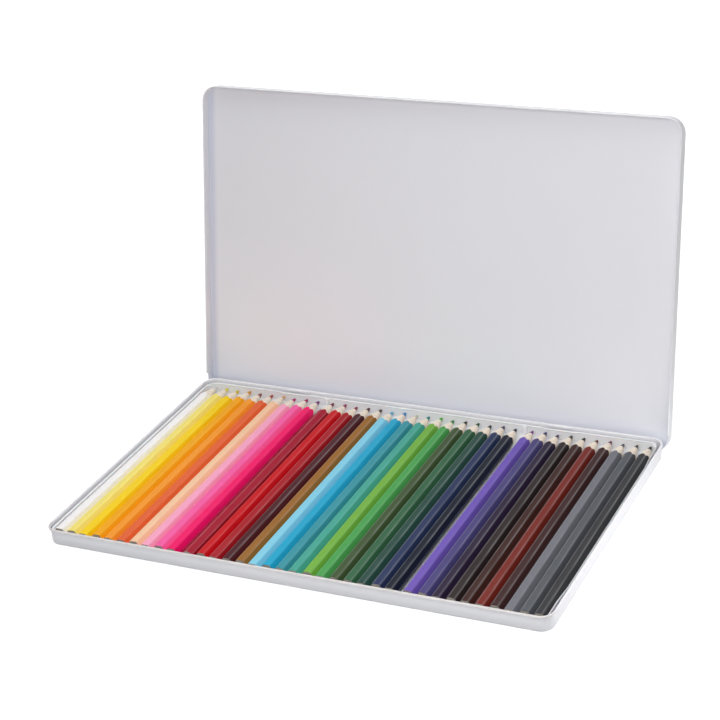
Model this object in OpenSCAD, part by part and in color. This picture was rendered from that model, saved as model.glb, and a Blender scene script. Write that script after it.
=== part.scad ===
// Flat hinged tin with a moulded liner and one layer of hexagonal coloured pencils.
// Frame: X across the tin, Y from front to rear, Z up. The origin is the centre of the
// tray's underside, on the surface that the tin stands on. The lid is drawn open.

/* [Pencils] */
// Length of a pencil, from its blunt end to the tip of its lead
pencil_l = 179.4; // [160:0.1:190]
// Width of a pencil across its flats
flats = 7; // [6.2:0.1:7.4]
// How much the rounding takes off each of a pencil's corners
corner_cut = 0.18; // [0.1:0.01:0.25]
// Gap between two pencils that lie side by side
pencil_gap = 0.2; // [0.1:0.02:0.5]
// Extra room between two pencils that have a ridge between them
ridge_room = 2.35; // [2.1:0.05:4]
// Length of the sharpened point, measured on the rounded corners
point_l = 16.5; // [10:0.5:20]
// Diameter of the lead
lead_d = 2.8; // [2:0.1:4]
// Radius of the blunted tip of the lead
tip_r = 0.25; // [0.1:0.05:0.5]
// How far each pencil may lie ahead of its place or behind it
lay_play = 0.7; // [0:0.1:0.8]
// How far each pencil may lie turned about its axis, in degrees
lay_turn = 3; // [0:0.5:6]
// Number of the pencil that has rolled half onto a corner, beside a ridge
rolled_pencil = 11; // [1:1:36]
// How far that pencil is turned, in degrees
rolled_turn = 24; // [0:1:30]

/* [Tray] */
// Room between a side bead's centre line and the outermost pencil
side_room = 3.4; // [3:0.1:8]
// Room between the tips of the leads and the rear bead's centre line
tip_room = 4; // [4:0.1:12]
// Room between the top of the pencils and the top of the bead
head_room = 0.95; // [0.9:0.05:4]
// Plan radius of the tray's corners, at the bead's centre line
corner_r = 7.5; // [5:0.5:12]
// Thickness of the tinplate
sheet = 0.3; // [0.25:0.01:0.35]
// Outer radius of the curled bead round the tray's mouth
bead_r = 0.7; // [0.65:0.05:0.9]
// Angle at which the mouth of that curl begins, and the angle that it takes up
bead_mouth = 181;
bead_open = 61;
// Outer radius of the bend between the tray's wall and its bottom
foot_r = 1.2; // [0.8:0.1:1.6]
// Height of the stiffening rib that is pressed up in the tray's bottom
rib_rise = 1.2; // [0.6:0.1:1.6]
// Width of the rib's flat crest, which the liner lies on
rib_crest = 1.6; // [1:0.1:4]
// Width of the flat border between that rib and the bead's centre line
border_w = 8; // [5:0.5:14]

/* [Lid] */
// Depth of the skirt on the lid's front and sides; the rear follows from the hinge
skirt_deep = 7.7; // [6.5:0.1:8.6]
// Where that depth ends on each side, ahead of the tray's rounded rear corners
skirt_step = 1.5; // [0.5:0.5:6]
// Outer radius of the hem folded into the skirt's edge
hem_r = 0.45; // [0.4:0.01:0.5]
// Height of the hem's inner leaf above that fold
hem_leaf = 2.6; // [1.5:0.1:3]
// Outer radius of the bend between the lid's panel and its skirt
lid_bend_r = 1.2; // [0.8:0.1:1.6]
// Angle that the lid opens to, from closed
open_angle = 103; // [90:1:103]

/* [Hinge] */
// Distance of each hinge from the middle of the tin
hinge_x = 86; // [40:1:110]
// Width of each hinge lug
lug_w = 13; // [8:0.5:20]
// Radius of the lug's curl about the hinge axis, at the middle of its sheet
curl_r = 1.55; // [1.5:0.05:1.65]
// Angle that the lug's curl goes round the axis
curl_angle = 150; // [130:1:156]
// Length of the lug's straight, between its curl and the jog out to the skirt
lug_straight = 0.6; // [0.55:0.05:0.8]
// Height of the skirt's edge above the hinge axis
skirt_lift = 0.95; // [0.95:0.05:1.2]
// Length of the swage that presses the rear bead inwards above each lug
swage_w = 13; // [6:0.5:20]
// How far the swage stands in from the bead
swage_in = 0.3; // [0.1:0.05:0.35]

/* [Liner] */
// Thickness of the moulded liner
liner_t = 0.4; // [0.3:0.05:0.5]
// Drop of the liner's edge below the top of the bead
liner_drop = 1.6; // [1:0.1:2]
// Draft of the liner's wall, from its edge to its floor
liner_draft = 0.5; // [0.2:0.1:0.6]
// How much tighter the liner's front corners are than the tray's, in plan radius
liner_tighter = 1.5; // [0:0.1:1.8]
// How much rounder its rear corners are than the tray's
liner_rounder = 2.3; // [0:0.1:4]
// Width of the ridges that part the three groups of pencils
ridge_w = 1.8; // [1.2:0.1:2]
// Height of those ridges above the liner's floor
ridge_h = 2.4; // [1:0.1:3.2]
// Radius of the pillar on the rear wall at the end of each ridge
pillar_r = 2.2; // [1.4:0.1:2.4]
// Room on each side of a lug in its hinge pocket
pocket_room = 2; // [1:0.25:4]

/* [Clearances] */
// Gap between the tray's bead and the hem that passes it
lid_gap = 0.25; // [0.2:0.05:0.35]
// Gap between the top of the bead and the closed lid
rest_gap = 0.15; // [0.1:0.05:0.3]
// Gap between the table and the open lid's lower edge
table_gap = 0.1; // [0.05:0.05:0.5]
// Gap round the lug in its slot
slot_gap = 0.25; // [0.2:0.05:0.3]
// Gap between the bead and the liner's edge
liner_gap = 1.1; // [0.6:0.1:1.2]
// Gap under pieces that lie flat on another
seat_gap = 0.05; // [0.02:0.01:0.1]
// Gap between the liner and the blunt ends that lie nearest to it
front_gap = 0.15; // [0.1:0.05:1]
// Glue line between the wood and the lead
glue_gap = 0.03; // [0.02:0.01:0.05]

/* [Hidden] */
$fn = 48;
// How far a swept section runs on into the flat sheet that it is pressed from
lap = 0.5;
metal_white = "#f1f1f4";
liner_white = "#f7f7f8";

// One row for each pencil, from left to right: its node's name, its paint and its lead
PENCILS = [
    ["pencil_01_white", "#f4f2ee", "#e6e2da"],
    ["pencil_02_lemon", "#f3e35a", "#e9dc4a"],
    ["pencil_03_yellow", "#f4cf12", "#d9bd22"],
    ["pencil_04_amber", "#f2a81d", "#dd9418"],
    ["pencil_05_orange", "#f59a28", "#8c2f22"],
    ["pencil_06_vermilion", "#e4562a", "#a8392a"],
    ["pencil_07_peach", "#fbc089", "#dca878"],
    ["pencil_08_rose", "#fb9ccb", "#b32a78"],
    ["pencil_09_pink", "#fb57a0", "#a01f5a"],
    ["pencil_10_magenta", "#ec0766", "#7e2a86"],
    ["pencil_11_crimson", "#96243a", "#83204f"],
    ["pencil_12_red", "#d01f2c", "#9c2556"],
    ["pencil_13_brick", "#ad2730", "#8c1c40"],
    ["pencil_14_plum", "#4b2a38", "#4c1630"],
    ["pencil_15_ochre", "#a1672c", "#43281a"],
    ["pencil_16_sky", "#78cbe8", "#5fb4d8"],
    ["pencil_17_azure", "#23a9d6", "#2584c0"],
    ["pencil_18_cerulean", "#1f8fc4", "#d8cfb8"],
    ["pencil_19_turquoise", "#0fa38c", "#1b8c86"],
    ["pencil_20_lime", "#6cc52e", "#4fae3a"],
    ["pencil_21_green", "#1f9a3c", "#238a40"],
    ["pencil_22_olive", "#4d5527", "#2b2f1c"],
    ["pencil_23_forest", "#0f6a35", "#174d2c"],
    ["pencil_24_spruce", "#155048", "#173f3e"],
    ["pencil_25_navy", "#1b2f68", "#1a2855"],
    ["pencil_26_midnight", "#1c2030", "#232838"],
    ["pencil_27_violet", "#6a3cc0", "#7c2f8c"],
    ["pencil_28_indigo", "#42408a", "#2c2a66"],
    ["pencil_29_aubergine", "#382a48", "#3c2050"],
    ["pencil_30_sepia", "#2c2322", "#3a3420"],
    ["pencil_31_umber", "#3b2521", "#241a16"],
    ["pencil_32_chestnut", "#8a2620", "#6a2c28"],
    ["pencil_33_maroon", "#3d2228", "#6c2450"],
    ["pencil_34_grey", "#7c838c", "#474b50"],
    ["pencil_35_slate", "#525a66", "#363d3a"],
    ["pencil_36_black", "#232426", "#1c1e1e"]
];
// How many pencils lie to the left of each ridge
RIDGE_AFTER = [10, 26];

// Pencils: diameter across the rounded corners, and what follows from it
pencil_count = len(PENCILS);
corners = flats / cos(30) - 2 * corner_cut;
pitch = corners + pencil_gap;
span = (pencil_count - 1) * pitch + len(RIDGE_AFTER) * ridge_room;
flat_half = acos(flats / corners);
lead_r = lead_d / 2;
cone_slope = point_l / (corners / 2);
cone_apex = pencil_l + tip_r * cone_slope;

// Heights, from the table up: the liner lies on the tray's rib, and the pencils on that
liner_z = rib_rise + sheet + seat_gap;
bed_z = liner_z + liner_t;
tray_h = bed_z + seat_gap + flats + head_room;
liner_top = tray_h - liner_drop;

// Liner in plan, as distances outside the bead's centre line, and the room that its wall
// and its rounded corners leave at the height of the pencils' middle
liner_out = -bead_r - liner_gap;
liner_foot = liner_out - liner_draft;
liner_r = corner_r - liner_tighter;
liner_rear_r = corner_r + liner_rounder;
mid_in = liner_inside(bed_z + seat_gap + flats / 2);
mid_r = liner_r - mid_in;
mid_side = max(0, mid_r - side_room + mid_in);
corner_room = liner_r - sqrt(pow(mid_r - front_gap, 2) - pow(mid_side, 2));

// Tray: its size to the bead's centre line is set by what lies in it
end_shift = min(lay_shift(0), lay_shift(pencil_count - 1));
front_room = max(liner_inside(bed_z) + front_gap + lay_play, corner_room - end_shift);
tray_w = span + corners + 2 * side_room;
tray_d = front_room + pencil_l + tip_room;
bead_z = tray_h - bead_r;
wall_out = sheet - bead_r;
wall_mid = sheet / 2 - bead_r;

// Lid, closed: the skirt's sheet stands outside the bead by the gap and the hem
skirt_out = bead_r + lid_gap + 2 * hem_r - sheet / 2;
skirt_reach = skirt_out - wall_mid;
lid_top = tray_h + rest_gap + sheet;
lid_w = tray_w + 2 * skirt_out;
lid_d = tray_d + 2 * skirt_out;
lid_r = corner_r + skirt_out;

// Hinge: the axis lies in the plane of the tray's rear wall, at the lip of the slots, and
// so high that the open lid's lower edge stays clear of the table
bend_reach = skirt_reach + sheet / 2 - lid_bend_r;
axis_y = tray_d / 2 + wall_mid;
axis_z = (table_gap + lid_bend_r + bend_reach * sin(open_angle)
    - (lid_top - lid_bend_r) * cos(open_angle)) / (1 - cos(open_angle));
skirt_rear_z = axis_z + skirt_lift;
skirt_front_z = lid_top - skirt_deep;
lug_in = curl_r - sheet / 2;
lug_out = curl_r + sheet / 2;
lug_bend_z = lug_straight + skirt_reach - curl_r;
jog_l = (skirt_reach - curl_r) * sqrt(2);
lug_overlap = 1;
lug_relief = 1;
lip_z = 0.2;

// Hinge pockets in the liner
pocket_w = lug_w + 2 * pocket_room;
pocket_y = axis_y - lug_out - slot_gap;
liner_rear = tray_d / 2 + liner_foot;

// How many ridges lie to the left of pencil k, counted from 0, and where things lie
function ridges_before(k) = len([for (n = RIDGE_AFTER) if (k >= n) n]);
function pencil_x(k) = -span / 2 + k * pitch + ridges_before(k) * ridge_room;
function ridge_x(n) = (pencil_x(n - 1) + pencil_x(n)) / 2;
function liner_inside(z) =
    liner_t - liner_out + liner_draft * (liner_top - z) / (liner_top - liner_z);
function lay_shift(k) = lay_play * sin(137.5 * k + 20);
function turn(k) = k == rolled_pencil - 1 ? rolled_turn : lay_turn * sin(211 * k + 65);
function half_height(a) = corners / 2 * cos(max(0, flat_half - abs(a)));
function pencil_z(k) = bed_z + seat_gap + half_height(turn(k));

// Sweeps a section round a rounded rectangle of size w by d, with corner radius r at the
// front and rear_r at the rear. The section's X is the distance outside that line, and its
// Y is the height.
module sweep_rim(w, d, r, rear_r) {
    for (side = [0:3]) {
        half_x = (side % 2 == 0 ? w : d) / 2;
        half_y = (side % 2 == 0 ? d : w) / 2;
        start_r = side == 0 || side == 3 ? r : rear_r;
        end_r = side < 2 ? rear_r : r;
        rotate(90 * side) {
            translate([half_x, half_y - end_r, 0]) rotate([90, 0, 0])
                linear_extrude(2 * half_y - start_r - end_r) children();
            translate([half_x - end_r, half_y - end_r, 0])
                rotate_extrude(angle = 90) translate([end_r, 0]) children();
        }
    }
}

// A flat plate that fills the same line, grown outwards by grow
module rim_plate(w, d, r, rear_r, grow, thick) {
    front_y = -d / 2 + r;
    rear_y = d / 2 - rear_r;
    linear_extrude(thick) {
        translate([-w / 2 - grow, front_y]) square([w + 2 * grow, rear_y - front_y]);
        translate([-w / 2 + r, -d / 2 - grow]) square([w - 2 * r, r + grow]);
        translate([-w / 2 + rear_r, rear_y]) square([w - 2 * rear_r, rear_r + grow]);
        for (side = [-1, 1]) {
            translate([side * (w / 2 - r), front_y]) circle(r + grow);
            translate([side * (w / 2 - rear_r), rear_y]) circle(rear_r + grow);
        }
    }
}

// Section of the sheet rolled to a tube of radius r, open between two angles
module roll_section(r, from, to) {
    reach = 2 * r;
    difference() {
        circle(r);
        circle(r - sheet);
        polygon([
            [0, 0],
            [reach * cos(from), reach * sin(from)],
            [reach * cos((from + to) / 2), reach * sin((from + to) / 2)],
            [reach * cos(to), reach * sin(to)]
        ]);
    }
}

// Section of the sheet bent through a right angle, from facing down to facing +X
module bend_section(r) {
    intersection() {
        difference() {
            circle(r);
            circle(r - sheet);
        }
        translate([0, -r]) square(r);
    }
}

// Tray's wall: the bend at its foot, the upright and the bead curled outwards
module tray_wall_section() {
    translate([wall_out - foot_r, foot_r]) bend_section(foot_r);
    translate([wall_out - foot_r - lap, 0]) square([lap, sheet]);
    translate([-bead_r, foot_r]) square([sheet, bead_z - foot_r]);
    translate([0, bead_z]) roll_section(bead_r, bead_mouth, bead_mouth + bead_open);
}

// Tray's bottom: a flat sheet with a rib pressed up all round, inside its border
module tray_bottom() {
    rib_w = tray_w - 2 * border_w;
    rib_d = tray_d - 2 * border_w;
    rib_in = -2 * rib_rise - rib_crest;
    difference() {
        rim_plate(tray_w, tray_d, corner_r, corner_r, wall_out - foot_r, sheet);
        translate([0, 0, -sheet])
            rim_plate(rib_w, rib_d, corner_r, corner_r, 0, 3 * sheet);
    }
    sweep_rim(rib_w, rib_d, corner_r, corner_r)
        polygon([
            [lap, 0],
            [lap, sheet],
            [0, sheet],
            [-rib_rise, rib_rise + sheet],
            [-rib_rise - rib_crest, rib_rise + sheet],
            [rib_in, sheet],
            [rib_in - lap, sheet],
            [rib_in - lap, 0],
            [rib_in, 0],
            [-rib_rise - rib_crest, rib_rise],
            [-rib_rise, rib_rise],
            [0, 0]
        ]);
    rim_plate(rib_w, rib_d, corner_r, corner_r, rib_in, sheet);
}

// Swage in the rear bead above a lug: the curl is pressed inwards and down there
module bead_swage(side) {
    translate([side * hinge_x - swage_w / 2, tray_d / 2 - swage_in, bead_z - swage_in])
        rotate([0, 90, 0]) difference() {
            cylinder(r = bead_r + swage_in, h = swage_w);
            translate([0, 0, -1]) cylinder(r = bead_r + swage_in - sheet, h = swage_w + 2);
        }
}

module tray() {
    slot_w = lug_w + 2 * slot_gap;
    slot_low = axis_z - lug_out - slot_gap;
    color(metal_white) difference() {
        union() {
            sweep_rim(tray_w, tray_d, corner_r, corner_r) tray_wall_section();
            tray_bottom();
            for (side = [-1, 1]) bead_swage(side);
        }
        for (side = [-1, 1])
            translate([side * hinge_x - slot_w / 2, axis_y - sheet, slot_low])
                cube([slot_w, 2 * sheet, axis_z + lip_z - slot_low]);
    }
}

// Lid's skirt, closed: the bend from the panel, the upright down to edge_z, and the hem
// folded inwards and up
module skirt_section(edge_z) {
    fold_z = edge_z + hem_r;
    translate([sheet / 2 - lid_bend_r, lid_top - lid_bend_r])
        mirror([0, 1]) bend_section(lid_bend_r);
    translate([sheet / 2 - lid_bend_r - lap, lid_top - sheet]) square([lap, sheet]);
    translate([-sheet / 2, fold_z]) square([sheet, lid_top - lid_bend_r - fold_z]);
    translate([sheet / 2 - hem_r, fold_z]) intersection() {
        difference() {
            circle(hem_r);
            circle(hem_r - sheet);
        }
        translate([-hem_r, -hem_r]) square([2 * hem_r, hem_r]);
    }
    translate([sheet / 2 - 2 * hem_r, fold_z]) square([sheet, hem_leaf]);
}

// Hinge lug about its axis: down the skirt, in through a jog and round the axis
module lug_section() {
    far = 2 * lug_out;
    translate([skirt_reach - sheet / 2, lug_bend_z]) square([sheet, lug_overlap]);
    translate([skirt_reach, lug_bend_z]) circle(sheet / 2);
    translate([curl_r, lug_straight]) {
        rotate(45) translate([0, -sheet / 2]) square([jog_l, sheet]);
        circle(sheet / 2);
    }
    translate([lug_in, 0]) square([sheet, lug_straight]);
    difference() {
        circle(lug_out);
        circle(lug_in);
        polygon([
            [0, 0],
            [far, 0],
            [far, far],
            [-far, far],
            [-far, 0],
            [far * cos(curl_angle), -far * sin(curl_angle)]
        ]);
    }
}

// The skirt all round, as deep as at its front and sides, or as at its rear
module skirt_ring(edge_z) {
    sweep_rim(lid_w, lid_d, lid_r, lid_r) skirt_section(edge_z);
}

module closed_lid() {
    notch_w = lug_w + 2 * lug_relief;
    hem_top = skirt_lift + hem_r + hem_leaf + sheet / 2;
    step_y = tray_d / 2 - corner_r - skirt_step;
    difference() {
        union() {
            intersection() {
                skirt_ring(skirt_front_z);
                translate([-lid_w, step_y - 2 * lid_d, 0])
                    cube([2 * lid_w, 2 * lid_d, 2 * lid_top]);
            }
            intersection() {
                skirt_ring(skirt_rear_z);
                translate([-lid_w, step_y, 0]) cube([2 * lid_w, lid_d, 2 * lid_top]);
            }
            translate([0, 0, lid_top - sheet])
                rim_plate(lid_w, lid_d, lid_r, lid_r, sheet / 2 - lid_bend_r, sheet);
        }
        for (side = [-1, 1])
            translate([side * hinge_x - notch_w / 2, axis_y, axis_z]) {
                cube([notch_w, skirt_reach - sheet / 2, hem_top]);
                cube([notch_w, skirt_reach + sheet, lug_bend_z]);
            }
    }
    for (side = [-1, 1])
        translate([side * hinge_x - lug_w / 2, axis_y, axis_z])
            rotate([90, 0, 90]) linear_extrude(lug_w) lug_section();
}

module lid() {
    color(metal_white)
        translate([0, axis_y, axis_z]) rotate([-open_angle, 0, 0])
            translate([0, -axis_y, -axis_z]) closed_lid();
}

// Ridge between two groups of pencils, and the pillar that ends it at the rear wall
module ridge(n) {
    front = -tray_d / 2 - liner_foot + liner_t / 2;
    translate([ridge_x(n), liner_rear - liner_t / 2, bed_z - liner_t / 2])
        rotate([90, 0, 0]) linear_extrude(liner_rear - liner_t / 2 - front) {
            translate([-ridge_w / 2, 0]) square([ridge_w, ridge_h - ridge_w / 2]);
            translate([0, ridge_h - ridge_w / 2]) circle(ridge_w / 2);
        }
    intersection() {
        translate([ridge_x(n), liner_rear - liner_t / 2, bed_z - liner_t / 2])
            cylinder(r = pillar_r, h = liner_top - bed_z);
        translate([ridge_x(n) - pillar_r, liner_rear - 2 * pillar_r, liner_z])
            cube([2 * pillar_r, 2 * pillar_r, tray_h]);
    }
}

// Relief in the liner's rear wall for the lug that curls in through the tray's slot
module hinge_pocket(side) {
    depth = liner_rear + liner_draft - pocket_y;
    translate([side * hinge_x - pocket_w / 2 - liner_t, pocket_y - liner_t, liner_z])
        difference() {
            cube([pocket_w + 2 * liner_t, depth + liner_t, liner_top - liner_z]);
            translate([liner_t, liner_t, -liner_t])
                cube([pocket_w, depth + liner_t, tray_h]);
        }
}

module liner() {
    color(liner_white) {
        difference() {
            union() {
                sweep_rim(tray_w, tray_d, liner_r, liner_rear_r)
                    polygon([
                        [liner_out, liner_top],
                        [liner_foot, liner_z],
                        [liner_foot - liner_t, liner_z],
                        [liner_out - liner_t, liner_top]
                    ]);
                translate([0, 0, liner_z]) rim_plate(
                    tray_w, tray_d, liner_r, liner_rear_r, liner_foot - liner_t / 2, liner_t
                );
            }
            for (side = [-1, 1])
                translate([side * hinge_x - pocket_w / 2, pocket_y, 0])
                    cube([pocket_w, tray_d, tray_h]);
        }
        for (side = [-1, 1])
            intersection() {
                hinge_pocket(side);
                rim_plate(tray_w, tray_d, liner_r, liner_rear_r, liner_foot, tray_h);
            }
        for (n = RIDGE_AFTER) ridge(n);
    }
}

// One pencil: a hexagonal casing sharpened to a cone, and the lead in its bore
module pencil(k) {
    translate([pencil_x(k), -tray_d / 2 + front_room + lay_shift(k), pencil_z(k)])
        rotate([0, turn(k), 0]) rotate([-90, 0, 0]) {
            color(PENCILS[k][1]) difference() {
                intersection() {
                    cylinder(d = flats / cos(30), h = cone_apex, $fn = 6);
                    rotate_extrude() polygon([
                        [0, 0],
                        [corners / 2, 0],
                        [corners / 2, cone_apex - point_l],
                        [0, cone_apex]
                    ]);
                }
                translate([0, 0, -1]) cylinder(r = lead_r + glue_gap, h = cone_apex + 2);
            }
            color(PENCILS[k][2]) rotate_extrude() polygon([
                [0, 0],
                [lead_r, 0],
                [lead_r, cone_apex - lead_r * cone_slope],
                [tip_r, pencil_l],
                [0, pencil_l]
            ]);
        }
}

tray();
lid();
liner();
for (k = [0:pencil_count - 1])
    pencil(k);
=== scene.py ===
"""A flat hinged tin of coloured pencils: finishes, moulded liner, sharpened pencils, stage.

Lengths are in metres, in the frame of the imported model: X across the tin, Y from the front
to the hinged rear, Z up from the surface that the tin stands on.
"""

import math

import bmesh
import bpy
from bpy.props import CollectionProperty, FloatProperty, FloatVectorProperty, PointerProperty
from bpy.props import StringProperty
from mathutils import Matrix, Vector


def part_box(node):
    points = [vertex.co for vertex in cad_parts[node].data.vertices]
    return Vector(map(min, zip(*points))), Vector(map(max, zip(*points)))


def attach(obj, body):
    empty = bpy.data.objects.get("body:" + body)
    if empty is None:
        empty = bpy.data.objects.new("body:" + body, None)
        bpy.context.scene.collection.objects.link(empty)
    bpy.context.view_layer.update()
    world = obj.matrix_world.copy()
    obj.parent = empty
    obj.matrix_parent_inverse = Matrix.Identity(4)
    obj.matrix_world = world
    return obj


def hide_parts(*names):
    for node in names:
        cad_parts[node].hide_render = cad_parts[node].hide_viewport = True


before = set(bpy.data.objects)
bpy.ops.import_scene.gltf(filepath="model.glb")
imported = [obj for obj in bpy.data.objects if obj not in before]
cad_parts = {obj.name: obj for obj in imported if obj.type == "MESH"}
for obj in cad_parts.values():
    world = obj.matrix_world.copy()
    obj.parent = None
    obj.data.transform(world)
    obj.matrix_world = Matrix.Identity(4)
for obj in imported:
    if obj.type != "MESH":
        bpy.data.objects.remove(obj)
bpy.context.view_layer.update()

bl_info = {
    "name": "Coloured pencil tin",
    "version": (1, 0, 0),
    "blender": (4, 5, 0),
    "location": "3D View > Sidebar > Pencil tin",
    "description": "Dresses a hinged tin of coloured pencils and sets it on a pale stage",
    "category": "Object",
}

MM = 0.001

# Each pencil's node, its paint and its lead, from left to right
PENCILS = (
    ("pencil_01_white", "faf7f5", "e6e2da"),
    ("pencil_02_lemon", "fde77a", "e9dc4a"),
    ("pencil_03_yellow", "fdd511", "d9bd22"),
    ("pencil_04_amber", "f8ac0f", "dd9418"),
    ("pencil_05_orange", "fd9d2a", "8c2f22"),
    ("pencil_06_vermilion", "e76634", "a8392a"),
    ("pencil_07_peach", "fdcca4", "dca878"),
    ("pencil_08_rose", "fda8c6", "b32a78"),
    ("pencil_09_pink", "fd62a8", "a01f5a"),
    ("pencil_10_magenta", "f7056a", "7e2a86"),
    ("pencil_11_crimson", "a61b33", "83204f"),
    ("pencil_12_red", "cb0515", "9c2556"),
    ("pencil_13_brick", "aa1521", "8c1c40"),
    ("pencil_14_plum", "4c171e", "4c1630"),
    ("pencil_15_ochre", "9b6829", "43281a"),
    ("pencil_16_sky", "86d1e8", "5fb4d8"),
    ("pencil_17_azure", "20a7cd", "2584c0"),
    ("pencil_18_cerulean", "3a96a3", "d8cfb8"),
    ("pencil_19_turquoise", "47a795", "1b8c86"),
    ("pencil_20_lime", "75b243", "4fae3a"),
    ("pencil_21_green", "4ba252", "238a40"),
    ("pencil_22_olive", "415632", "2b2f1c"),
    ("pencil_23_forest", "346545", "174d2c"),
    ("pencil_24_spruce", "264b41", "173f3e"),
    ("pencil_25_navy", "29365b", "1a2855"),
    ("pencil_26_midnight", "091527", "232838"),
    ("pencil_27_violet", "7057b5", "7c2f8c"),
    ("pencil_28_indigo", "4b457b", "2c2a66"),
    ("pencil_29_aubergine", "291c38", "3c2050"),
    ("pencil_30_sepia", "2e2323", "3a3420"),
    ("pencil_31_umber", "3d1f19", "241a16"),
    ("pencil_32_chestnut", "79271d", "6a2c28"),
    ("pencil_33_maroon", "3d201f", "6c2450"),
    ("pencil_34_grey", "75767d", "474b50"),
    ("pencil_35_slate", "585b61", "363d3a"),
    ("pencil_36_black", "37373a", "1c1e1e"),
)
# How the pencils lie turned about their axes, in degrees: a small turn each, spread along the
# row by a sine, and the one beside the left ridge, which has rolled half onto a corner
LAY_TURN = 3.0
LAY_PHASE, LAY_PHASE_STEP = 65, 211
ROLLED = 10
ROLLED_TURN = 24.0

# How much further from the axis a hexagon's corners stand than its flats
HALF_SIDE = math.radians(30)
CORNER_REACH = 1 / math.cos(HALF_SIDE)

# The hinge's axis, Y and Z, and how far the lid stands open, in degrees
HINGE_AXIS = (92.91 * MM, 3.705 * MM)
OPEN_ANGLE = 103.0

# Hinge pockets and ridges of the liner, from the middle of the tin
HINGE_X = 86 * MM
RIDGES_BETWEEN = ((9, 10), (25, 26))
# The liner's right wall bows out over this much either side of the middle, and has reached
# its end line by BOW_END
BOW = 62 * MM
BOW_END = 76 * MM
# The liner's lip: half the height of its roll, how far down from the top it reaches, and the
# share of its width that is kept where the right wall bows out and at that wall's ends
LIP_RISE = 0.45 * MM
LIP_DEPTH = 1.1 * MM
BOWED_LIP = 0.35
END_LIP = 0.5

# The top of the tray's bead at the front is painted a darker, warmer grey, a painted shade that
# dulls its highlight; it sets in between these heights and these places along Y. The tints scale
# red, green and blue; the second is the shade painted into the lid's creases
BEAD_SHADE_Z = (9.0 * MM, 9.5 * MM)
BEAD_SHADE_Y = (-80 * MM, -92 * MM)
BEAD_SHADE_TINT = (0.84, 0.8, 0.76)
CREASE_SHADE_TINT = (0.76, 0.79, 0.87)

# Faces that meet more sharply than this keep a hard edge between them
SHARP_ANGLE = math.radians(32)

# Camera: where it looks, from where, its tilt about its own axis and its focal length in
# pixels of a frame 720 pixels wide
FRAME_PX = 720
CAMERA_AZIMUTH = 26.58
CAMERA_ELEVATION = 26.474
CAMERA_ROLL = -5.344
CAMERA_DISTANCE = 1170.53 * MM
CAMERA_TARGET = Vector((-10.69, 86.84, 42.94)) * MM
CAMERA_FOCAL_PX = 1991.9
CAMERA_SHIFT_PX = 40

# The lamps: name, what it faces, azimuth, elevation, distance, size, power, colour
WHITE = (1.0, 1.0, 1.0)
TIN_CENTRE = Vector((0, 0, 30)) * MM
LID_TOP = Vector((110, 100, 190)) * MM
RIGHT_WALL = Vector((149, 0, 5)) * MM
BEFORE_FRONT = Vector((0, -197, 102)) * MM
LAMPS = (
    ("key", TIN_CENTRE, 16, 20, 1.9, (1.6, 1.2), 8.3, WHITE),
    ("near_lamp", LID_TOP, 8, 24, 0.44, (0.3, 0.2), 0.74, WHITE),
    ("overhead", TIN_CENTRE, -110, 75, 2.6, (4.2, 4.2), 61, WHITE),
    ("back", TIN_CENTRE, 180, 25, 2.6, (3.4, 1.8), 13, WHITE),
    ("right_window", TIN_CENTRE, 100, 20, 1.7, (1.3, 1.0), 0.5, (1.0, 0.99, 0.98)),
    ("right_strip", RIGHT_WALL, 90, 2, 0.06, (0.2, 0.012), 0.05, WHITE),
    ("front_card", BEFORE_FRONT, 0, -90, 0.1, (0.3, 0.2), 0.06, WHITE),
)
FLOOR_RADIUS = 14.0
FLOOR_GLOW = 0.55
SKY_COLOUR = (0.95, 0.96, 1.0, 1)
SKY_STRENGTH = 0.19


def linear(hex_colour):
    """A hexadecimal sRGB colour as linear red, green, blue and alpha."""
    channels = [int(hex_colour[i : i + 2], 16) / 255 for i in (0, 2, 4)]
    values = [c / 12.92 if c <= 0.04045 else ((c + 0.055) / 1.055) ** 2.4 for c in channels]
    return (*values, 1.0)


# ---------------------------------------------------------------- settings


class PencilColours(bpy.types.PropertyGroup):
    """Paint and lead of one pencil."""

    node: StringProperty(name="Pencil", description="Node that this pencil stands for")
    paint: FloatVectorProperty(
        name="Paint", description="Colour of the lacquer", subtype="COLOR", size=4, min=0, max=1
    )
    lead: FloatVectorProperty(
        name="Lead", description="Colour of the lead", subtype="COLOR", size=4, min=0, max=1
    )


class PencilSizes(bpy.types.PropertyGroup):
    """Sizes of the pencils, in metres."""

    flats: FloatProperty(
        name="Across flats", description="Width across the flats", default=7 * MM, unit="LENGTH"
    )
    corner_cut: FloatProperty(
        name="Corner cut",
        description="How much the rounding takes off each corner",
        default=0.18 * MM,
        unit="LENGTH",
    )
    point: FloatProperty(
        name="Point", description="Length of the sharpened point", default=17.9 * MM, unit="LENGTH"
    )
    lead: FloatProperty(
        name="Lead", description="Diameter of the lead", default=3.1 * MM, unit="LENGTH"
    )
    tip: FloatProperty(
        name="Tip", description="Radius of the blunted tip", default=0.58 * MM, unit="LENGTH"
    )
    lacquer: FloatProperty(
        name="Lacquer", description="Thickness of the lacquer", default=0.09 * MM, unit="LENGTH"
    )
    wood: FloatVectorProperty(
        name="Wood", description="Colour of the wood", subtype="COLOR", size=4,
        default=linear("fcedd8"), min=0, max=1,
    )
    colours: CollectionProperty(type=PencilColours)


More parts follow.
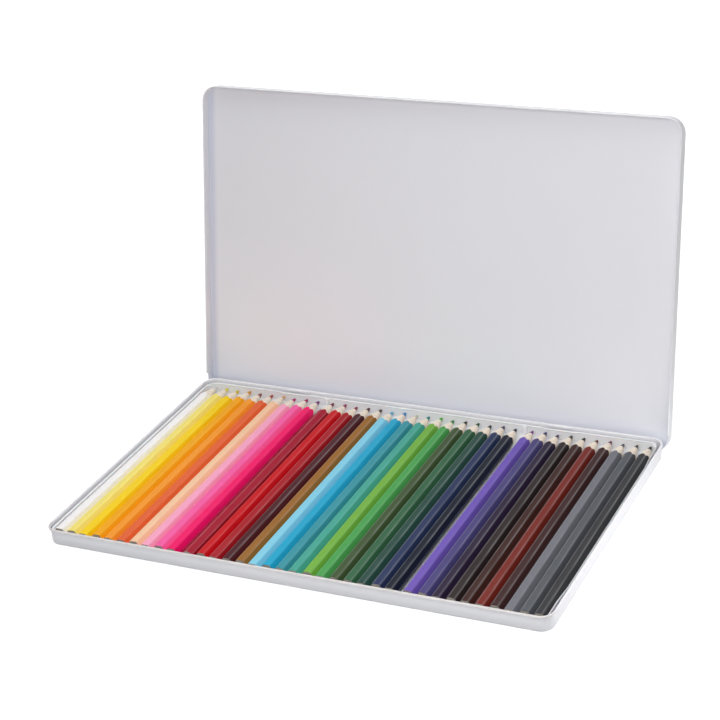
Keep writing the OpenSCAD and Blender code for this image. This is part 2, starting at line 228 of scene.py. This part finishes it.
class TinFinish(bpy.types.PropertyGroup):
    """Finish of the tray, the lid and the liner."""

    enamel: FloatVectorProperty(
        name="Enamel", description="Colour of the stoved enamel", subtype="COLOR", size=4,
        default=linear("f3f3f7"), min=0, max=1,
    )
    plastic: FloatVectorProperty(
        name="Liner", description="Colour of the moulded liner", subtype="COLOR", size=4,
        default=linear("f6f6f8"), min=0, max=1,
    )
    liner_sheet: FloatProperty(
        name="Liner sheet", description="Thickness of the liner", default=0.4 * MM, unit="LENGTH"
    )
    front_corner: FloatProperty(
        name="Front corners",
        description="Plan radius of the liner's front corners, outside its edge",
        default=4.2 * MM,
        unit="LENGTH",
    )
    rear_corner: FloatProperty(
        name="Rear corners",
        description="Plan radius of the liner's rear corners, outside its edge",
        default=8 * MM,
        unit="LENGTH",
    )
    liner_room: FloatProperty(
        name="Room at the right",
        description="Gap that the liner, pushed to the left, leaves at the tray's right wall",
        default=0.8 * MM,
        unit="LENGTH",
    )
    liner_draft: FloatProperty(
        name="Draft", description="Slope of the liner's wall, edge to floor",
        default=0.5 * MM, unit="LENGTH",
    )


# ---------------------------------------------------------------- shader maths


class Value:
    """A shader socket that can stand in a Python expression."""

    def __init__(self, finish, socket):
        self.finish = finish
        self.socket = socket

    def maths(self, operation, *terms):
        return self.finish.node("ShaderNodeMath", {"operation": operation}, dict(enumerate(terms)))

    def __add__(self, other):
        return self.maths("ADD", self, other)

    def __radd__(self, other):
        return self.maths("ADD", other, self)

    def __mul__(self, other):
        return self.maths("MULTIPLY", self, other)

    def __rmul__(self, other):
        return self.maths("MULTIPLY", other, self)


class Finish:
    """A material under construction: a Principled shader and the nodes that feed it."""

    def __init__(self, name, constants):
        self.material = bpy.data.materials.new(name)
        self.material.use_nodes = True
        self.tree = self.material.node_tree
        self.shader = self.tree.nodes["Principled BSDF"]
        for socket, value in constants.items():
            self.shader.inputs[socket].default_value = value
        self.where = self.node("ShaderNodeTexCoord", output="Object")

    def node(self, kind, settings=None, inputs=None, output=0):
        made = self.tree.nodes.new(kind)
        for name, value in (settings or {}).items():
            if name == "stops":
                self.set_stops(made.color_ramp, value)
            else:
                setattr(made, name, value)
        for name, value in (inputs or {}).items():
            self.join(made.inputs[name], value)
        return Value(self, made.outputs[output])

    def set_stops(self, ramp, stops):
        while len(ramp.elements) < len(stops):
            ramp.elements.new(1.0)
        for element, (place, colour) in zip(ramp.elements, stops):
            element.position = place
            element.color = colour

    def join(self, socket, value):
        if isinstance(value, Value):
            self.tree.links.new(value.socket, socket)
        else:
            socket.default_value = value

    def feed(self, socket, value):
        self.join(self.shader.inputs[socket], value)

    def mix(self, factor, first, second):
        """Colour that goes from first to second as factor goes from 0 to 1."""
        return self.node(
            "ShaderNodeMix",
            {"data_type": "RGBA"},
            {0: factor, 6: first, 7: second},
            output=2,
        )

    def ramp(self, value, low, high):
        """Smooth rise from 0 to 1 as value goes from low to high."""
        return self.node(
            "ShaderNodeMapRange",
            {"interpolation_type": "SMOOTHSTEP"},
            {0: value, 1: low, 2: high, 3: 0.0, 4: 1.0},
        )

    def placed(self, location=(0, 0, 0), turn=(0, 0, 0), scale=(1, 1, 1)):
        """Object coordinates, moved by location, then turned and scaled."""
        moved = self.node(
            "ShaderNodeVectorMath", {"operation": "SUBTRACT"}, {0: self.where, 1: location}
        )
        return self.node(
            "ShaderNodeMapping", {}, {"Vector": moved, "Rotation": turn, "Scale": scale}
        )

    def split(self, vector):
        """The three coordinates of a vector."""
        parts = self.node("ShaderNodeSeparateXYZ", {}, {0: vector}).socket.node
        return [Value(self, socket) for socket in parts.outputs]

    def noise(self, vector, scale, detail=2.0, roughness=0.5):
        return self.node(
            "ShaderNodeTexNoise",
            {},
            {"Vector": vector, "Scale": scale, "Detail": detail, "Roughness": roughness},
        )

    def emboss(self, height):
        """Gives the surface a relief whose height is in metres."""
        relief = {"Height": height, "Distance": 1.0, "Strength": 1.0}
        self.feed("Normal", self.node("ShaderNodeBump", {}, relief))


def shade(colour, factor):
    """The colour with its channels scaled, kept within 0 and 1."""
    return tuple(min(1.0, c * factor) for c in colour[:3]) + (1.0,)


def tinted(colour, factors):
    """The colour with each channel scaled by a factor of its own."""
    return tuple(c * f for c, f in zip(colour[:3], factors)) + (1.0,)


def toward(colour, other, share):
    """The colour moved towards the other by a share."""
    return tuple(a + (b - a) * share for a, b in zip(colour[:3], other[:3])) + (1.0,)


# ---------------------------------------------------------------- finishes


def stoved_enamel(name, colour, crease_shaded=False):
    """White enamel on tinplate: orange peel, slow waves of the sheet, faint handling marks in its
    gloss, and a painted shade that dulls the top of the tray's bead at the front. On the lid a
    cooler grey is painted into the creases where the flanges meet the panel, as painted shade."""
    finish = Finish(
        name,
        {"Specular IOR Level": 0.5, "Coat Weight": 0.35, "Coat Roughness": 0.12, "Coat IOR": 1.5},
    )
    peel = finish.noise(finish.where, 700, detail=2)
    waves = finish.noise(finish.where, 9, detail=1)
    cloud = finish.noise(finish.where, 26, detail=5, roughness=0.6)
    rubs = finish.noise(finish.placed(scale=(1, 7, 7)), 160, detail=3, roughness=0.65)
    coat = finish.mix(cloud * 0.5, colour, shade(colour, 0.955))
    _, y, z = finish.split(finish.where)
    # Painted shade: the top of the tray's bead at the front is darkened and warmed, dulling its
    # highlight
    bead_shade = finish.ramp(z, *BEAD_SHADE_Z) * finish.ramp(y, *BEAD_SHADE_Y)
    coat = finish.mix(bead_shade, coat, tinted(colour, BEAD_SHADE_TINT))
    # Painted shade: a cooler grey in the lid's inside creases and toward its hinge
    if crease_shaded:
        coat = finish.mix(lid_crease_shade(finish), coat, tinted(colour, CREASE_SHADE_TINT))
    finish.feed("Base Color", coat)
    finish.feed("Roughness", 0.3 + 0.1 * cloud + 0.12 * finish.ramp(rubs, 0.58, 0.72))
    finish.emboss(peel * 6e-6 + waves * 2.2e-4 + rubs * 2e-6)
    return finish.material


def lid_crease_shade(finish):
    """Mask of the shade painted on the lid: 1 in its inside creases, falling to 0 a few
    millimetres away from them. The coordinates are those of the closed lid, from the hinge's axis,
    so Z runs up to its top."""
    closed = finish.placed(location=(0, *HINGE_AXIS), turn=(math.radians(OPEN_ANGLE), 0, 0))
    x, y, z = finish.split(closed)
    across = x.maths("ABSOLUTE", x)
    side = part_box("lid")[1].x
    bend = side - 1.4 * MM

    # The painted shade in the side creases shows at the left and fades across the middle
    left = finish.ramp(x, 40 * MM, -40 * MM)
    sides = finish.ramp(across, bend - 5 * MM, bend) * finish.ramp(z, 5.2 * MM, 6.2 * MM) * left

    # Toward the hinge a close painted shade and a long gentle one are laid
    near = finish.ramp(y, -4.5 * MM, 0.6 * MM) * finish.ramp(z, 3.4 * MM, 6.0 * MM)
    hinged = near * 0.65 + finish.ramp(y, -45 * MM, -2 * MM) * 0.32

    # Neither reaches the outside of the lid
    inside = finish.ramp(z, 6.6 * MM, 6.45 * MM)
    inside = inside * finish.ramp(across, side - 0.05 * MM, side - 0.2 * MM)
    total = (sides + hinged) * inside
    return total.maths("MINIMUM", total, 1.0)


def moulded_plastic(colour):
    """Thin white vacuum-formed sheet: smooth, a little wavy, with a soft sheen."""
    finish = Finish(
        "moulded_plastic",
        {
            "IOR": 1.5,
            "Specular IOR Level": 0.45,
            "Subsurface Weight": 0.12,
            "Subsurface Scale": 2 * MM,
        },
    )
    draw = finish.noise(finish.where, 60, detail=2)
    grain = finish.noise(finish.where, 1500, detail=2)
    finish.feed("Base Color", finish.mix(draw * 0.4, colour, shade(colour, 0.95)))
    finish.feed("Roughness", 0.28 + 0.12 * draw)
    finish.emboss(draw * 8e-5 + grain * 1.5e-6)
    return finish.material


def bare_wood(name, colour):
    """Cedar cut by a sharpener: growth rings, fibres along the pencil and fine cutter marks."""
    finish = Finish(name, {"Specular IOR Level": 0.25})
    fibres = finish.noise(finish.placed(scale=(1, 0.035, 1)), 3200, detail=3, roughness=0.6)
    drift = finish.noise(finish.placed(scale=(1, 0.12, 1)), 150, detail=2)
    rings = finish.node(
        "ShaderNodeTexWave",
        {"wave_type": "BANDS", "bands_direction": "X", "wave_profile": "SAW"},
        {
            "Vector": finish.placed(turn=(0, math.radians(38), 0), scale=(1, 0.05, 1)),
            "Scale": 290,
            "Distortion": 3.5,
            "Detail": 2,
            "Detail Scale": 1.3,
        },
        output="Fac",
    )
    late = finish.ramp(rings, 0.55, 1.0) * 0.6 + finish.ramp(fibres, 0.5, 0.75) * 0.35
    pale = finish.mix(drift, toward(colour, (1, 1, 1), 0.3), colour)
    finish.feed("Base Color", finish.mix(late, pale, shade(colour, 0.76)))
    finish.feed("Roughness", 0.62 + 0.2 * fibres)
    finish.emboss(fibres * 1.6e-5 + rings * 6e-6)
    return finish.material


def coloured_lead(name, colour):
    """Waxy lead: slightly mottled pigment, with the fine turns that the sharpener leaves."""
    finish = Finish(
        name, {"Specular IOR Level": 0.4, "Subsurface Weight": 0.05, "Subsurface Scale": MM}
    )
    pigment = finish.noise(finish.where, 2600, detail=4, roughness=0.7)
    turns = finish.node(
        "ShaderNodeTexWave",
        {"wave_type": "BANDS", "bands_direction": "Y", "wave_profile": "SIN"},
        {"Vector": finish.where, "Scale": 1400, "Distortion": 1.5, "Detail": 1},
        output="Fac",
    )
    finish.feed("Base Color", finish.mix(pigment * 0.7, shade(colour, 1.12), shade(colour, 0.8)))
    finish.feed("Roughness", 0.42 + 0.2 * pigment)
    finish.emboss(turns * 8e-6 + pigment * 1e-5)
    return finish.material


def lacquer(name, colour, axis, turned, half_flats, corner):
    """Satin lacquer on one pencil, with long draw lines; its corners are painted paler, a painted
    highlight that is stronger on dark paint.
    """
    finish = Finish(name, {"Specular IOR Level": 0.17})
    own = finish.placed(location=axis, turn=(0, -turned, 0))
    flat_on = finish.node(
        "ShaderNodeVectorMath", {"operation": "MULTIPLY"}, {0: own, 1: (1, 0, 1)}
    )
    radius = finish.node(
        "ShaderNodeVectorMath", {"operation": "LENGTH"}, {0: flat_on}, output="Value"
    )
    on_corner = finish.ramp(radius, half_flats + 0.55 * (corner - half_flats), corner)
    streaks = finish.noise(finish.placed(location=axis, scale=(1, 0.02, 1)), 2400, detail=3)
    blotch = finish.noise(finish.where, 210, detail=4, roughness=0.65)
    specks = finish.noise(finish.where, 3000, detail=1)
    body = finish.mix(blotch * 0.55, shade(colour, 1.05), shade(colour, 0.9))
    dark = max(0.0, 1 - 3 * sum(colour[:3]) / 3)
    # Painted highlight: the corners are painted paler, more so on dark paint
    corner_highlight = toward(shade(colour, 1.15), (1, 1, 1, 1), 0.04 + 0.24 * dark)
    highlight_share = on_corner * (0.35 + 0.5 * finish.ramp(streaks, 0.4, 0.65))
    finish.feed("Base Color", finish.mix(highlight_share * 0.62, body, corner_highlight))
    finish.feed("Roughness", 0.34 + 0.14 * streaks + 0.08 * blotch)
    finish.emboss(streaks * 9e-6 + specks * 5e-6 + blotch * 1.5e-5)
    return finish.material


# ---------------------------------------------------------------- mesh helpers


def new_piece(name, bm, materials):
    """Turns the bmesh into an object at the origin with these materials."""
    bmesh.ops.recalc_face_normals(bm, faces=bm.faces)
    mesh = bpy.data.meshes.new(name)
    bm.to_mesh(mesh)
    bm.free()
    mesh.shade_smooth()
    mesh.set_sharp_from_angle(angle=SHARP_ANGLE)
    piece = bpy.data.objects.new(name, mesh)
    bpy.context.scene.collection.objects.link(piece)
    for material in materials:
        mesh.materials.append(material)
    return piece


def even_normals(piece):
    """Keeps flat faces flat beside their rounded edges."""
    weighted = piece.modifiers.new("Even normals", "WEIGHTED_NORMAL")
    weighted.keep_sharp = True


def next_loop(bm, edges, place, material=0):
    """Extrudes a loop of edges, moves each new corner to place(corner) and returns the loop."""
    grown = bmesh.ops.extrude_edge_only(bm, edges=edges)["geom"]
    for corner in (g for g in grown if isinstance(g, bmesh.types.BMVert)):
        corner.co = place(corner.co)
    for face in (g for g in grown if isinstance(g, bmesh.types.BMFace)):
        face.material_index = material
    return [g for g in grown if isinstance(g, bmesh.types.BMEdge) and g.is_boundary]


def close_loop(bm, edges, material=0):
    """Fills a loop of edges with one face."""
    face = bmesh.ops.contextual_create(bm, geom=edges)["faces"][0]
    face.material_index = material
    return face


# ---------------------------------------------------------------- pencils

PAINT, WOOD, LEAD, END_GRAIN = range(4)


def hexagon_loop(bm, half_flats, corner_cut):
    """Six flats and six rounded corners round the Y axis, with enough points on each flat for
    the scalloped edge of the paint. Returns the loop's edges."""
    sharp = half_flats * CORNER_REACH
    made = bmesh.ops.create_circle(bm, cap_ends=True, segments=6, radius=sharp)
    upright = Matrix.Rotation(math.radians(90), 3, "X") @ Matrix.Rotation(HALF_SIDE, 3, "Z")
    bmesh.ops.rotate(bm, cent=(0, 0, 0), matrix=upright, verts=made["verts"])
    fillet = corner_cut / (CORNER_REACH - 1)
    bmesh.ops.bevel(
        bm,
        geom=bm.verts[:],
        affect="VERTICES",
        offset=fillet * math.tan(HALF_SIDE),
        offset_type="OFFSET",
        segments=5,
        profile=0.5,
        material=-1,
    )
    flats = [e for e in bm.edges if e.calc_length() > 0.4 * half_flats]
    bmesh.ops.subdivide_edges(bm, edges=flats, cuts=11)
    bmesh.ops.delete(bm, geom=bm.faces[:], context="FACES_ONLY")
    return bm.edges[:]


def sharpened_pencil(name, sizes, length, materials):
    """One pencil along Y from 0: end grain, lacquered flats, scalloped edge, cone and lead."""
    half_flats = sizes.flats / 2
    corner = half_flats * CORNER_REACH - sizes.corner_cut
    slope = sizes.point / corner
    apex = length + sizes.tip * slope
    lead = sizes.lead / 2

    def across(spot):
        return math.hypot(spot.x, spot.z)

    def at(spot, radius, y):
        share = radius / across(spot)
        return Vector((spot.x * share, y, spot.z * share))

    def thinner(by, y):
        return lambda spot: at(spot, across(spot) - by, y)

    def on_cone(spot, radius):
        return at(spot, radius, apex - slope * radius)

    bm = bmesh.new()
    rim = hexagon_loop(bm, half_flats, sizes.corner_cut)
    ease = 0.2 * MM
    for vert in bm.verts:
        vert.co.y = ease

    # Blunt end: the lacquer turns in over the wood, and the lead's round end lies flush
    edge = next_loop(bm, rim, thinner(0.4 * ease, 0.3 * ease), PAINT)
    edge = next_loop(bm, edge, thinner(0.8 * ease, 0.0), PAINT)
    edge = next_loop(bm, edge, thinner(sizes.lacquer, 0.25 * ease), END_GRAIN)
    edge = next_loop(bm, edge, lambda s: at(s, 0.5 * (across(s) + lead), 0.25 * ease), END_GRAIN)
    edge = next_loop(bm, edge, lambda s: at(s, lead, 0.25 * ease), END_GRAIN)
    edge = next_loop(bm, edge, lambda s: at(s, 0.93 * lead, 0.4 * ease), LEAD)
    close_loop(bm, edge, LEAD)

    # Flats, up to the scalloped edge that the cone cuts, and the lacquer's thickness there
    scallop = next_loop(bm, rim, lambda s: Vector((s.x, 0.5 * length, s.z)), PAINT)
    scallop = next_loop(bm, scallop, lambda s: on_cone(s, across(s)), PAINT)
    for depth, ahead, material in ((0.6, 0.15 * MM, PAINT), (0.4, -0.02 * MM, WOOD)):
        inwards = depth * sizes.lacquer
        scallop = next_loop(
            bm,
            scallop,
            lambda s, i=inwards, a=ahead: at(s, across(s) - i, s.y + a),
            material,
        )

    # Cone: from the scalloped edge to the round end of the wood, then the lead
    edge = scallop
    for steps_left in range(7, 0, -1):
        share = 1 / steps_left
        edge = next_loop(
            bm, edge, lambda s, f=share: on_cone(s, across(s) + (lead - across(s)) * f), WOOD
        )
    neck, nose = 0.96 * lead, 1.15 * sizes.tip
    edge = next_loop(bm, edge, lambda s: at(s, neck, s.y + 0.02 * MM), LEAD)
    for step in range(1, 5):
        radius = neck + (nose - neck) * step / 4
        edge = next_loop(bm, edge, lambda s, r=radius: on_cone(s, r), LEAD)
    edge = next_loop(bm, edge, lambda s: at(s, 0.85 * sizes.tip, length - 0.05 * MM), LEAD)
    edge = next_loop(bm, edge, lambda s: at(s, 0.45 * sizes.tip, length), LEAD)
    close_loop(bm, edge, LEAD)
    return new_piece(name, bm, materials)


class TIN_OT_sharpen_pencils(bpy.types.Operator):
    """Makes the sharpened, lacquered pencils that stand for the plain ones"""

    bl_idname = "pencil_tin.sharpen_pencils"
    bl_label = "Sharpen the pencils"

    def execute(self, context):
        sizes = context.scene.pencil_sizes
        wood = bare_wood("bare_cedar", sizes.wood)
        end_grain = bare_wood("sawn_end_grain", shade(sizes.wood, 0.4))
        half_flats = sizes.flats / 2
        corner = half_flats * CORNER_REACH - sizes.corner_cut
        for number, colours in enumerate(sizes.colours):
            low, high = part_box(colours.node)
            axis = Vector(((low.x + high.x) / 2, low.y, (low.z + high.z) / 2))
            phase = math.radians(LAY_PHASE_STEP * number + LAY_PHASE)
            turned = math.radians(ROLLED_TURN if number == ROLLED else LAY_TURN * math.sin(phase))
            label = colours.node.split("_", 2)[2]
            paint = lacquer("lacquer_" + label, colours.paint, axis, turned, half_flats, corner)
            lead = coloured_lead("lead_" + label, colours.lead)
            piece = sharpened_pencil(
                colours.node + "_sharpened", sizes, high.y - low.y, (paint, wood, lead, end_grain)
            )
            piece.data.transform(Matrix.Translation(axis) @ Matrix.Rotation(turned, 4, "Y"))
            even_normals(piece)
            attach(piece, colours.node)
            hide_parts(colours.node)
            "paint_" + label
        return {"FINISHED"}


# ---------------------------------------------------------------- tin and liner


class TIN_OT_enamel_tin(bpy.types.Operator):
    """Gives the tray and the lid their stoved enamel"""

    bl_idname = "pencil_tin.enamel_tin"
    bl_label = "Enamel the tin"

    def execute(self, context):
        colour = context.scene.tin_finish.enamel
        for node in ("tray", "lid"):
            enamel = stoved_enamel("enamel_" + node, colour, crease_shaded=node == "lid")
            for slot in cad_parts[node].material_slots:
                slot.material = enamel
        return {"FINISHED"}


def cut_across(bm, place, normal):
    """Cuts all the faces along a plane, so that their corners can be moved apart there."""
    bmesh.ops.bisect_plane(
        bm, geom=bm.verts[:] + bm.edges[:] + bm.faces[:], plane_co=place, plane_no=normal
    )


def sweep_steps(count, sweep):
    """The angles at both ends of each of count equal steps over a sweep."""
    return [(sweep * ((step - 1) / count), sweep * (step / count)) for step in range(1, count + 1)]


def liner_section(finish, drop):
    """The liner's section as steps (inwards, up): rolled lip, drafted wall, filleted floor."""
    lip, floor_r, below_lip = 0.6 * MM, 1.0 * MM, 0.65 * MM
    section = [(0.0, LIP_RISE)]
    for a0, a1 in sweep_steps(8, math.pi):
        inwards = lip * (math.cos(a0) - math.cos(a1))
        section.append((inwards, LIP_RISE * (math.sin(a1) - math.sin(a0))))
    section += [(-0.1 * MM, -0.15 * MM), (-0.3 * MM, -0.2 * MM), (-0.2 * MM, -0.3 * MM)]
    wall = drop - LIP_RISE - floor_r - below_lip
    section += [(finish.liner_draft / 4, -wall / 4)] * 4
    for a0, a1 in sweep_steps(5, math.pi / 2):
        inwards = floor_r * (math.cos(a0) - math.cos(a1))
        section.append((inwards, -floor_r * (math.sin(a1) - math.sin(a0))))
    return section


def liner_shell(finish):
    """The liner's tub as one skin: rolled edge, drafted wall, filleted floor, hinge pockets."""
    low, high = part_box("liner")
    half_x, half_y, top, base = high.x, high.y, high.z, low.z

    bm = bmesh.new()
    bmesh.ops.create_grid(bm, x_segments=1, y_segments=1, size=1.0)
    bmesh.ops.scale(bm, vec=(half_x, half_y, 1), verts=bm.verts)
    bmesh.ops.translate(bm, vec=(0, 0, top - 2 * LIP_RISE), verts=bm.verts)
    for corner, ahead in ((finish.front_corner, True), (finish.rear_corner, False)):
        bmesh.ops.bevel(
            bm,
            geom=[v for v in bm.verts if (v.co.y < 0) == ahead],
            affect="VERTICES",
            offset=corner,
            offset_type="OFFSET",
            segments=12,
            profile=0.5,
            material=-1,
        )
    bmesh.ops.delete(bm, geom=bm.faces[:], context="FACES_ONLY")
    loop = bm.edges[:]

    def moved(inwards, rise):
        """Moves a corner of the loop inwards in plan, about its own corner's centre."""

        def place(spot):
            corner = finish.front_corner if spot.y < 0 else finish.rear_corner
            centre_x = math.copysign(half_x - corner, spot.x)
            centre_y = math.copysign(half_y - corner, spot.y)
            out = (spot.xy - Vector((centre_x, centre_y))).normalized()
            flat = spot.xy - out * inwards
            return Vector((flat.x, flat.y, spot.z + rise))

        return place

    for inwards, rise in liner_section(finish, top - base - finish.liner_sheet):
        loop = next_loop(bm, loop, moved(inwards, rise))
    close_loop(bm, loop)

    # Hinge pockets: the rear wall steps in behind each lug, most at its edge
    pocket, slant, wall_depth, slack = 8.5 * MM, 3.0 * MM, 6 * MM, 0.1 * MM
    step_in, lean_in = 0.2 * MM, 0.5 * MM
    for side in (-1, 1):
        for reach in (pocket, pocket + slant):
            for end in (-1, 1):
                cut_across(bm, (side * HINGE_X + end * reach, 0, 0), (1, 0, 0))
    # The right wall bows out between its ends, up to the tray's bead
    for bow_end in (-BOW_END, -BOW, BOW, BOW_END):
        cut_across(bm, (0, bow_end, 0), (0, 1, 0))
    for vert in bm.verts:
        spot = vert.co
        if spot.y > half_y - wall_depth and abs(abs(spot.x) - HINGE_X) < pocket + slack:
            rise = (spot.z - base) / (top - base)
            spot.y -= step_in + lean_in * max(0.0, rise)
        if spot.x > 0.8 * half_x:
            at_end = abs(spot.y) > BOW + 1 * MM
            if spot.z > top - LIP_DEPTH:
                spot.x = half_x - (END_LIP if at_end else BOWED_LIP) * (half_x - spot.x)
            if at_end:
                spot.x -= finish.liner_room
    return bm


def top_edges(verts, level):
    """The edges at these corners that lie wholly above a level."""
    edges = dict.fromkeys(edge for vert in verts for edge in vert.link_edges)
    return [edge for edge in edges if all(vert.co.z > level for vert in edge.verts)]


def add_ridge(bm, x, y0, y1, z0, finish):
    """A round-topped ridge along the floor, and the half-round pillar that ends it."""
    width, height, rounding = 1.8 * MM, 2.2 * MM, 0.8 * MM
    pillar, taper, crown_rounding, below_edge = 1.5 * MM, 0.93, 0.5 * MM, 0.2 * MM
    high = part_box("liner")[1]
    bar = bmesh.ops.create_cube(bm, size=1.0)["verts"]
    bmesh.ops.scale(bm, vec=(width, y1 - y0, height), verts=bar)
    bmesh.ops.translate(bm, vec=(x, (y0 + y1) / 2, z0 + height / 2), verts=bar)
    crest = [e for e in top_edges(bar, z0 + 0.9 * height) if e.calc_length() > 0.1]
    bmesh.ops.bevel(
        bm, geom=crest, affect="EDGES", offset=rounding, segments=5, profile=0.5, material=-1
    )
    tall = high.z - below_edge - z0
    post = bmesh.ops.create_cone(
        bm, cap_ends=True, segments=32, radius1=pillar, radius2=pillar * taper, depth=tall
    )["verts"]
    bmesh.ops.translate(
        bm, vec=(x, high.y - finish.liner_draft - finish.liner_sheet, z0 + tall / 2), verts=post
    )
    crown = top_edges(post, z0 + 0.9 * tall)
    bmesh.ops.bevel(
        bm, geom=crown, affect="EDGES", offset=crown_rounding, segments=4, profile=0.5, material=-1
    )
    # The half of the pillar behind the wall is pressed flat against it
    behind = high.y - finish.liner_draft
    for vert in bm.verts:
        spot = vert.co
        if spot.y > behind and abs(spot.x - x) < 2 * pillar and spot.z > z0 + 0.5 * MM:
            spot.y = min(spot.y, high.y - finish.liner_draft * 0.5)


class TIN_OT_form_liner(bpy.types.Operator):
    """Forms the thin moulded liner, with its rolled edge, pockets, ridges and pillars"""

    bl_idname = "pencil_tin.form_liner"
    bl_label = "Form the liner"

    def execute(self, context):
        finish = context.scene.tin_finish
        low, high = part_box("liner")
        bm = liner_shell(finish)
        floor = low.z + finish.liner_sheet
        short, sunk = 2.4 * MM, 0.1 * MM
        for left, right in RIDGES_BETWEEN:
            boxes = [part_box(PENCILS[number][0]) for number in (left, right)]
            x = sum((box[0].x + box[1].x) / 2 for box in boxes) / 2
            add_ridge(bm, x, low.y + short, high.y - short, floor - sunk, finish)
        piece = new_piece("moulded_liner", bm, (moulded_plastic(finish.plastic),))
        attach(piece, "tray")
        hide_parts("liner")
        return {"FINISHED"}


# ---------------------------------------------------------------- stage


def pale_floor():
    """White studio floor that glows a little, so that it stays white under the tin."""
    finish = Finish("studio_floor", {"Specular IOR Level": 0.0, "Roughness": 1.0})
    mottle = finish.noise(finish.where, 3, detail=2)
    white = (0.95, 0.95, 0.96, 1)
    finish.feed("Base Color", finish.mix(mottle * 0.3, white, shade(white, 0.98)))
    finish.feed("Emission Color", (1, 1, 1, 1))
    finish.feed("Emission Strength", FLOOR_GLOW)
    return finish.material


def outwards(azimuth, elevation):
    """The direction out of the scene at an azimuth and an elevation, in degrees."""
    a, e = math.radians(azimuth), math.radians(elevation)
    return Vector((math.sin(a) * math.cos(e), -math.cos(a) * math.cos(e), math.sin(e)))


def soft_box(name, target, azimuth, elevation, distance, size, power, colour):
    """A rectangular area light that faces target from an azimuth and an elevation."""
    data = bpy.data.lights.new(name, "AREA")
    data.shape = "RECTANGLE"
    data.size, data.size_y = size
    data.energy = power
    data.color = colour
    lamp = bpy.data.objects.new(name, data)
    back = outwards(azimuth, elevation)
    lamp.location = target + back * distance
    lamp.rotation_mode = "QUATERNION"
    lamp.rotation_quaternion = back.to_track_quat("Z", "Y")
    lamp.visible_camera = False
    bpy.context.scene.collection.objects.link(lamp)


def set_camera():
    """The camera stands where its azimuth, elevation and distance put it, tilted by its roll."""
    data = bpy.data.cameras.new("camera")
    data.sensor_width = 36
    data.lens = data.sensor_width * CAMERA_FOCAL_PX / FRAME_PX
    data.shift_x = -CAMERA_SHIFT_PX / FRAME_PX
    data.clip_start, data.clip_end = 0.01, 100
    camera = bpy.data.objects.new("camera", data)
    bpy.context.scene.collection.objects.link(camera)
    back = outwards(CAMERA_AZIMUTH, CAMERA_ELEVATION)
    level = (-back).cross(Vector((0, 0, 1))).normalized()
    up = level.cross(-back)
    axes = Matrix((level, up, back)).transposed().to_4x4()
    roll = Matrix.Rotation(math.radians(CAMERA_ROLL), 4, "Z")
    camera.matrix_world = Matrix.Translation(CAMERA_TARGET + back * CAMERA_DISTANCE) @ axes @ roll
    bpy.context.scene.camera = camera


class TIN_OT_set_stage(bpy.types.Operator):
    """Lays the pale floor, hangs the soft lights and sets the camera"""

    bl_idname = "pencil_tin.set_stage"
    bl_label = "Set the stage"

    def execute(self, context):
        bm = bmesh.new()
        bmesh.ops.create_circle(bm, cap_ends=True, segments=96, radius=FLOOR_RADIUS)
        floor = new_piece("studio_floor", bm, (pale_floor(),))
        floor.visible_diffuse = False
        for lamp in LAMPS:
            soft_box(*lamp)
        world = bpy.data.worlds.new("studio")
        world.use_nodes = True
        sky = world.node_tree.nodes["Background"]
        sky.inputs["Color"].default_value = SKY_COLOUR
        sky.inputs["Strength"].default_value = SKY_STRENGTH
        context.scene.world = world
        context.scene.view_settings.view_transform = "Standard"
        set_camera()
        return {"FINISHED"}


# ---------------------------------------------------------------- panel and registration


class TIN_PT_pencil_tin(bpy.types.Panel):
    """Steps that dress the tin, in order"""

    bl_idname = "TIN_PT_pencil_tin"
    bl_label = "Pencil tin"
    bl_space_type = "VIEW_3D"
    bl_region_type = "UI"
    bl_category = "Pencil tin"

    def draw(self, context):
        column = self.layout.column()
        for settings in (context.scene.tin_finish, context.scene.pencil_sizes):
            for name in settings.bl_rna.properties.keys():
                if name not in ("rna_type", "name", "colours"):
                    column.prop(settings, name)
        for step in STEPS:
            column.operator(step.bl_idname)


STEPS = (
    TIN_OT_enamel_tin,
    TIN_OT_form_liner,
    TIN_OT_sharpen_pencils,
    TIN_OT_set_stage,
)
CLASSES = (PencilColours, PencilSizes, TinFinish) + STEPS + (TIN_PT_pencil_tin,)


def register():
    for cls in CLASSES:
        bpy.utils.register_class(cls)
    bpy.types.Scene.pencil_sizes = PointerProperty(type=PencilSizes)
    bpy.types.Scene.tin_finish = PointerProperty(type=TinFinish)
    sizes = bpy.context.scene.pencil_sizes
    sizes.colours.clear()
    for node, paint, lead in PENCILS:
        colours = sizes.colours.add()
        colours.node = node
        colours.paint = linear(paint)
        colours.lead = linear(lead)


def unregister():
    del bpy.types.Scene.tin_finish
    del bpy.types.Scene.pencil_sizes
    for cls in reversed(CLASSES):
        bpy.utils.unregister_class(cls)


def main():
    register()
    bpy.ops.pencil_tin.enamel_tin()
    bpy.ops.pencil_tin.form_liner()
    bpy.ops.pencil_tin.sharpen_pencils()
    bpy.ops.pencil_tin.set_stage()


if __name__ == "__main__":
    main()
